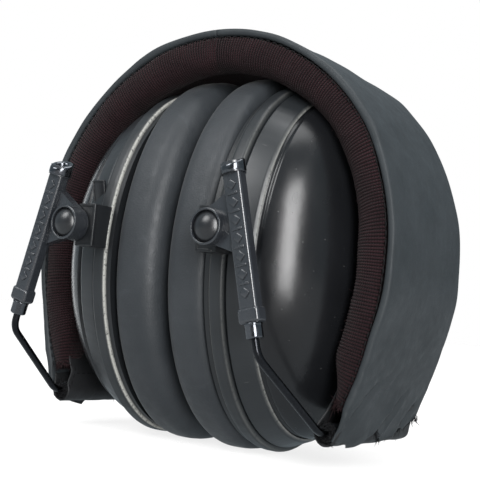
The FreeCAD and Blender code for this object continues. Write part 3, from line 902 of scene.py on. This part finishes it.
def cup_shell():
    """Wall under the skirt, shallow valley and glossy dome, with a wall thickness."""
    wall = rounded([(20.4, 31.6, 42.6), (20.4, 33.1, 44.3), (20.75, 33.5, 44.7),
                    (25.6, 32.6, 43.2), (26.3, 32.0, 42.4), (26.8, 31.6, 41.95),
                    (27.4, 31.45, 41.7)], 0.5, 5)
    outer = dome_levels(0.40, 0.9998, 70)
    inner = dome_levels(0.9997, 0.10, 24, SHELL_WALL)
    inner[-1] = (20.4, 31.0, 41.8)
    return grid(ovals(np.vstack([wall, outer, inner])), wrap_rows=True)


def worn_ring(levels, wear):
    """Closed ring through the levels; its marks hold the way round, y and the wear."""
    rows = ovals(levels)
    marks = rows.copy()
    marks[..., 0] = 60.0 * np.arctan2(rows[..., 1], rows[..., 2] - CUP_Z)
    marks[..., 2] = wear[:, None]
    return grid(rows, marks, wrap_rows=True)


def cup_skirt(worn):
    """Satin band between the rim and the dome, its upper lip worn pale."""
    outline = [(20.35, 33.3, 44.5), (20.35, 33.7, 44.9), (20.8, 34.1, 45.3),
               (25.9, 32.75, 43.25), (26.6, 32.2, 42.6), (26.75, 31.9, 42.25),
               (26.0, 32.0, 42.4), (20.9, 33.5, 44.7)]
    levels = rounded(outline, 0.25, 5, closed=True)
    wear = worn * np.exp(-((levels[:, 0] - SKIRT_LIP_X) / 0.15) ** 2)
    return worn_ring(levels, wear * (levels[:, 1] > 31.8))


def cup_rim(worn):
    """Rim with rolled edges; the edge beside the cushion is worn pale."""
    outline = [(16.0, 25.7, 35.7), (15.95, 33.8, 45.3), (16.35, 34.85, 46.35), (17.2, 35.1, 46.6),
               (19.4, 35.1, 46.6), (19.95, 34.85, 46.35), (20.2, 34.2, 45.7), (20.2, 31.0, 41.8),
               (18.4, 25.7, 35.7)]
    levels = rounded(outline, 0.5, 6, closed=True)
    wear = worn * np.exp(-((levels[:, 0] - RIM_EDGE_X) / 0.22) ** 2)
    wear = wear + 0.12 * np.exp(-((levels[:, 0] - RIM_LIP_X) / 0.2) ** 2)
    return worn_ring(levels, wear * (levels[:, 1] > 34.0))


def lug_pad():
    """Raised borders on the faces of the front and rear pivot lugs."""
    z = on_bail(np.array([-PIVOT_OFFSET, 0.0, PIVOT_S]))[2]
    return with_rear(bars([((4.4, 0.9, 0.8), (18.4, LUG_Y, z + LUG_HALF)),
                           ((4.4, 0.9, 0.8), (18.4, LUG_Y, z - LUG_HALF)),
                           ((0.8, 0.9, 10.4), (16.3, LUG_Y, z))], 0.2))


def catch_slot(rear):
    """Frame of the moulded slot above one lug, in the skirt, with a flat plate filling it; both are
    in darker button plastic, painted shade standing for the slot's hollow.
    """
    # The last bar is a flat plate where the slot's hollow is: its dark colour is painted shade, not
    # depth.
    frame_bars = bars([((0.4, 0.7, 7.0), (-1.8, 0, 0)), ((0.4, 0.7, 7.0), (1.8, 0, 0)),
                       ((3.6, 0.7, 0.4), (0, 0, 3.4)), ((3.6, 0.7, 0.4), (0, 0, -3.4)),
                       ((3.2, 0.5, 6.4), (0, 0.05, 0))], 0.12)
    lean = np.array(Matrix.Rotation(CATCH_LEAN, 3, "X"))
    placed = shifted(moved(frame_bars, lambda points: points @ lean.T), CATCH_PLACE)
    return moved(placed, lambda points: mirror(points, 1, rear))


def cushion_start():
    """Ring-shaped pad a little smaller than its skin, to be blown up."""
    inset = 0.7
    around = np.linspace(0, 2 * math.pi, 132, endpoint=False)[:, None]
    section = np.linspace(0, 2 * math.pi, 40, endpoint=False)[None, :]
    across, depth = np.cos(section), np.sin(section)
    fullness = np.where(depth < 0, 0.80, 0.45)
    across = np.sign(across) * np.abs(across) ** fullness
    depth = np.sign(depth) * np.abs(depth) ** fullness
    middle_a, middle_b = (EAR_A + CUSHION_A) / 2, (EAR_B + CUSHION_B) / 2
    half_a, half_b = (CUSHION_A - EAR_A) / 2 - inset, (CUSHION_B - EAR_B) / 2 - inset
    middle_x, half_x = (CUSHION_X[0] + CUSHION_X[1]) / 2, (CUSHION_X[1] - CUSHION_X[0]) / 2
    x = middle_x + 0.2 + (half_x - 0.5) * depth
    points = np.stack([x + 0 * around, (middle_a + half_a * across) * np.sin(around),
                       CUP_Z + (middle_b + half_b * across) * np.cos(around)], -1)
    return grid(taller(points, CUSHION_RISE), wrap_rows=True)


def puffed(piece, side):
    """Blow the pad up with a cloth simulation, hold its seam, and keep it in its own space."""
    mesh = piece.data
    start = np.zeros(len(mesh.vertices) * 3)
    mesh.vertices.foreach_get("co", start)
    start = start.reshape(-1, 3)
    seam = piece.vertex_groups.new(name="seam")
    held = np.nonzero(np.abs(start[:, 0]) > (CUSHION_X[1] - 0.9) * MM)[0]
    seam.add(held.tolist(), 1.0, "REPLACE")
    cloth = piece.modifiers.new("puff", "CLOTH")
    settings = cloth.settings
    settings.use_pressure = True
    settings.uniform_pressure_force = PUFF_PRESSURE
    settings.effector_weights.gravity = 0.0
    settings.vertex_group_mass = "seam"
    settings.tension_stiffness = settings.compression_stiffness = PUFF_STIFFNESS
    settings.bending_stiffness = PUFF_BENDING
    cloth.point_cache.frame_start, cloth.point_cache.frame_end = 1, PUFF_FRAMES
    for number in range(1, PUFF_FRAMES + 1):
        bpy.context.scene.frame_set(number)
    evaluated = piece.evaluated_get(bpy.context.evaluated_depsgraph_get())
    blown = np.zeros(len(mesh.vertices) * 3)
    evaluated.data.vertices.foreach_get("co", blown)
    piece.modifiers.remove(cloth)
    bpy.context.scene.frame_set(1)
    step = blown.reshape(-1, 3) - start
    size = np.linalg.norm(step, axis=1)[:, None]
    step *= np.minimum(1.0, PUFF_LIMIT * MM / np.maximum(size, 1e-9))
    points = start + step
    x = np.clip(points[:, 0] * side, CUSHION_X[0] * MM, CUSHION_X[1] * MM)
    points = np.stack([x * side, points[:, 1], np.maximum(points[:, 2], 0.0001)], -1)
    mesh.vertices.foreach_set("co", points.ravel())
    mesh.update()
    rounder = piece.modifiers.new("rounder", "SUBSURF")
    rounder.levels = rounder.render_levels = 1
    evaluated = piece.evaluated_get(bpy.context.evaluated_depsgraph_get())
    finished = bpy.data.meshes.new_from_object(evaluated)
    piece.modifiers.clear()
    piece.data = finished


def foam_insert(seed):
    """Soft liner inside the shell, domed and a little uneven."""
    levels = rounded([(20.9, 3.0, 5.0), (20.7, 14.0, 20.0), (20.8, 27.0, 37.5),
                      (22.5, 27.8, 38.2), (27.0, 26.0, 36.0), (31.0, 20.0, 28.5),
                      (32.8, 10.0, 14.0), (33.0, 1.0, 1.5)], 2.5, 8)
    count = 96
    rows = ovals(levels, count)
    there = np.linspace(0, 4 * math.pi, count)[None, :]
    there_and_back = np.minimum(there, 4 * math.pi - there) * 2
    rows[..., 0] += 0.3 * patches(np.arange(len(levels))[:, None] / 4.0, there_and_back, seed)
    return grid(rows)


for NAME, SIDE in SIDES.items():
    body = NAME + "_cup"
    shell = make(NAME + "_shell", cup_shell(), SHELL, SIDE)
    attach(shell, body)
    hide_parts(NAME + "_cup_shell")
    skirt_wear, rim_wear = (0.3, 0.4) if SIDE > 0 else (0.0, 1.0)
    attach(make(NAME + "_skirt", cup_skirt(skirt_wear), SKIRT, SIDE), body)
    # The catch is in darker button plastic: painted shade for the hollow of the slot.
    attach(make(NAME + "_catch", catch_slot(SIDE > 0), BUTTON, SIDE), body)
    rim = make(NAME + "_rim", cup_rim(rim_wear), RIM, SIDE)
    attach(rim, body)
    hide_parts(NAME + "_cup_rim")
    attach(make(NAME + "_lug_borders", lug_pad(), LUG, SIDE), body)
    cushion = make(NAME + "_cushion", cushion_start(), CUSHION, SIDE)
    puffed(cushion, SIDE)
    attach(cushion, body)
    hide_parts(NAME + "_ear_cushion")
    insert = make(NAME + "_shell_foam", foam_insert(90 + SIDE), FOAM, SIDE)
    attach(insert, body)
    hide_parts(NAME + "_foam_insert")


# -------------------- CAD nodes that stay
KEPT = {"spring_strip": SPRING, "strip_rivets": STEEL, "hinge_sleeve": BUTTON, "front_arm": ARM,
        "rear_arm": ARM, "pivot_pins": STEEL, "snap_ring": LUG, "pivot_lugs": LUG}
for node_name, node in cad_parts.items():
    kind = node_name.split("_", 1)[1]
    if kind in KEPT:
        node.data.materials.clear()
        node.data.materials.append(KEPT[kind])


# -------------------- floor, light and camera
floor_mesh = bpy.data.meshes.new("floor")
corners = [(-6, -6, 0), (6, -6, 0), (6, 6, 0), (-6, 6, 0)]      # metres
floor_mesh.from_pydata(corners, [], [(0, 1, 2, 3)])
floor = bpy.data.objects.new("floor", floor_mesh)
bpy.context.scene.collection.objects.link(floor)
floor_look = Look("floor_white", False, Specular_IOR_Level=0.0)
floor_look.colour((1.0, 1.0, 1.0))
floor_look.rough(0.8)
# A thin milky sheet: it takes a faint shadow, and the unfolded cups below it show, though pale.
FLOOR_MILK = 0.2
floor_mix = floor_look.add("ShaderNodeMixShader")
floor_mix.inputs["Fac"].default_value = FLOOR_MILK
clear = floor_look.add("ShaderNodeBsdfTransparent")
output = floor_look.tree.nodes["Material Output"]
floor_look.tree.links.new(clear.outputs["BSDF"], floor_mix.inputs[1])
floor_look.tree.links.new(floor_look.shader.outputs["BSDF"], floor_mix.inputs[2])
floor_look.tree.links.new(floor_mix.outputs["Shader"], output.inputs["Surface"])
floor_mesh.materials.append(floor_look.material)


MIDDLE = (0.0, 0.0, 0.05)


def area_light(name, place, size, power):
    """Rectangular light that faces the middle of the object; metres and watts."""
    data = bpy.data.lights.new(name, "AREA")
    data.shape, data.size, data.size_y = "RECTANGLE", size[0], size[1]
    data.energy = power
    light = bpy.data.objects.new(name, data)
    bpy.context.scene.collection.objects.link(light)
    light.location = place
    light.rotation_euler = (Vector(MIDDLE) - Vector(place)).to_track_quat("-Z", "Y").to_euler()


area_light("key", (-0.35, -0.75, 0.75), (0.5, 0.5), 8.0)
area_light("side", (0.62, -0.58, 0.27), (0.30, 0.85), 15.0)
area_light("rear_side", (-0.75, 0.35, 0.10), (0.3, 0.6), 1.2)
area_light("top", (0.1, 0.1, 1.1), (0.8, 0.8), 8.0)

# White studio; what shiny surfaces mirror is greyer and cooler, and dark on the camera's side.
world = bpy.data.worlds.new("studio")
world.use_nodes = True
tree = world.node_tree
direction = tree.nodes.new("ShaderNodeTexCoord").outputs["Generated"]
toward = tree.nodes.new("ShaderNodeVectorMath")
toward.operation = "DOT_PRODUCT"
toward.inputs[1].default_value = (0.57, -0.82, -0.08)
tree.links.new(direction, toward.inputs[0])
mirrored = tree.nodes.new("ShaderNodeMapRange")
mirrored.interpolation_type = "SMOOTHSTEP"
for key, number in (("From Min", 0.55), ("From Max", 0.95), ("To Min", 0.42), ("To Max", 0.10)):
    mirrored.inputs[key].default_value = number
tree.links.new(toward.outputs["Value"], mirrored.inputs["Value"])
paths = tree.nodes.new("ShaderNodeLightPath")
strength = tree.nodes.new("ShaderNodeMix")
strength.inputs["A"].default_value = 1.0
tree.links.new(paths.outputs["Is Glossy Ray"], strength.inputs["Factor"])
tree.links.new(mirrored.outputs["Result"], strength.inputs["B"])
tint = tree.nodes.new("ShaderNodeMix")
tint.data_type = "RGBA"
plain, cool = colour_sockets(tint.inputs)
plain.default_value = (1.0, 1.0, 1.0, 1.0)
cool.default_value = (0.80, 0.97, 1.08, 1.0)
background = tree.nodes["Background"]
tree.links.new(paths.outputs["Is Glossy Ray"], tint.inputs["Factor"])
tree.links.new(colour_sockets(tint.outputs)[0], background.inputs["Color"])
tree.links.new(strength.outputs["Result"], background.inputs["Strength"])
bpy.context.scene.world = world
bpy.context.scene.view_settings.view_transform = "Standard"

CAMERA_PLACE = (0.15045, -0.21537, 0.03317)
FORWARD = (-0.57123, 0.81701, 0.07863)
RIGHT = (0.82016, 0.56440, 0.09382)
UP = (-0.03227, -0.11808, 0.99248)
camera_data = bpy.data.cameras.new("camera")
camera_data.lens = 73.42
camera_data.sensor_width = 36.0
camera_data.clip_start = 0.01
camera = bpy.data.objects.new("camera", camera_data)
bpy.context.scene.collection.objects.link(camera)
axes = Matrix((RIGHT, UP, tuple(-v for v in FORWARD))).transposed()
camera.matrix_world = Matrix.Translation(CAMERA_PLACE) @ axes.to_4x4()
bpy.context.scene.camera = camera
